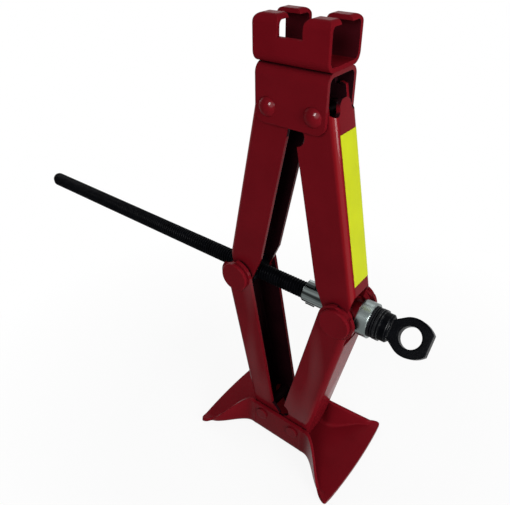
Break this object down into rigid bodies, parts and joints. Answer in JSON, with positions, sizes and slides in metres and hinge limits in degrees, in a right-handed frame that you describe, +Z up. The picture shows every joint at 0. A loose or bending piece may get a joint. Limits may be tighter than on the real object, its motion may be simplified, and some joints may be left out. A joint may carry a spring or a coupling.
{
  "type": "scissor jack",
  "caption": "Folding lifting jack: channel arms with geared ends between a flared base and a notched saddle, raised by a screw turned at its eye.",
  "frame": {"origin": "centre of the base's underside", "axes": "+Z up, +X along the screw towards the eye, +Y across the jack to its far side"},
  "size_m": [0.3809, 0.0898, 0.3289],
  "materials": {
    "red_paint": "glossy dark red paint",
    "zinc_plate": "satin zinc plating",
    "black_oxide": "oiled black oxide",
    "bearing_steel": "greased bearing steel"
  },
  "bodies": {
    "base": {"base_plate": "red_paint", "base_left_pin": "red_paint", "base_right_pin": "red_paint"},
    "lower_right": {"lower_right_arm": "red_paint"},
    "lower_left": {"lower_left_arm": "red_paint"},
    "upper_right": {"upper_right_arm": "red_paint"},
    "upper_left": {"upper_left_arm": "red_paint"},
    "head": {"head_bracket": "red_paint", "saddle": "red_paint", "top_left_rivet": "red_paint", "top_right_rivet": "red_paint"},
    "left_nut": {"left_trunnion_nut": "black_oxide", "left_pivot_discs": "red_paint", "left_spacer_washers": "red_paint"},
    "right_block": {"right_trunnion": "zinc_plate", "right_pivot_discs": "red_paint", "right_spacer_washers": "red_paint", "bearing_housing_washer": "bearing_steel"},
    "screw": {"lead_screw": "black_oxide", "stop_sleeve": "zinc_plate", "sleeve_pin": "zinc_plate", "bearing_shaft_washer": "bearing_steel", "crank_eye": "black_oxide"},
    "ball_ring": {"bearing_cage": "bearing_steel", "bearing_balls": "bearing_steel"}
  },
  "joints": [
    {"name": "fold", "type": "hinge", "parent": "base", "child": "lower_right", "pos_m": [0.015, 0, 0.0224], "axis": [0, 1, 0], "range_deg": [-8, 69]},
    {"name": "lower_left_fold", "type": "hinge", "parent": "base", "child": "lower_left", "pos_m": [-0.015, 0, 0.0224], "axis": [0, -1, 0], "range_deg": [-8, 69]},
    {"name": "upper_right_fold", "type": "hinge", "parent": "lower_right", "child": "upper_right", "pos_m": [0.04132, 0, 0.15175], "axis": [0, -1, 0], "range_deg": [-16, 138]},
    {"name": "upper_left_fold", "type": "hinge", "parent": "lower_left", "child": "upper_left", "pos_m": [-0.04132, 0, 0.15175], "axis": [0, 1, 0], "range_deg": [-16, 138]},
    {"name": "head_level", "type": "hinge", "parent": "upper_left", "child": "head", "pos_m": [-0.015, 0, 0.2811], "axis": [0, -1, 0], "range_deg": [-8, 69]},
    {"name": "left_nut_level", "type": "hinge", "parent": "lower_left", "child": "left_nut", "pos_m": [-0.04132, 0, 0.15175], "axis": [0, 1, 0], "range_deg": [-8, 69]},
    {"name": "right_block_level", "type": "hinge", "parent": "lower_right", "child": "right_block", "pos_m": [0.04132, 0, 0.15175], "axis": [0, -1, 0], "range_deg": [-8, 69]},
    {"name": "screw_spin", "type": "hinge", "parent": "right_block", "child": "screw", "pos_m": [0.04132, 0, 0.15175], "axis": [1, 0, 0], "continuous": true},
    {"name": "ball_ring_spin", "type": "hinge", "parent": "right_block", "child": "ball_ring", "pos_m": [0.04132, 0, 0.15175], "axis": [1, 0, 0], "continuous": true}
  ],
  "couplings": [
    {"joint": "lower_left_fold", "follows": "fold", "ratio": 1},
    {"joint": "upper_right_fold", "follows": "fold", "ratio": 2},
    {"joint": "upper_left_fold", "follows": "fold", "ratio": 2},
    {"joint": "head_level", "follows": "fold", "ratio": 1},
    {"joint": "left_nut_level", "follows": "fold", "ratio": 1},
    {"joint": "right_block_level", "follows": "fold", "ratio": 1},
    {"joint": "ball_ring_spin", "follows": "screw_spin", "ratio": 0.5}
  ]
}
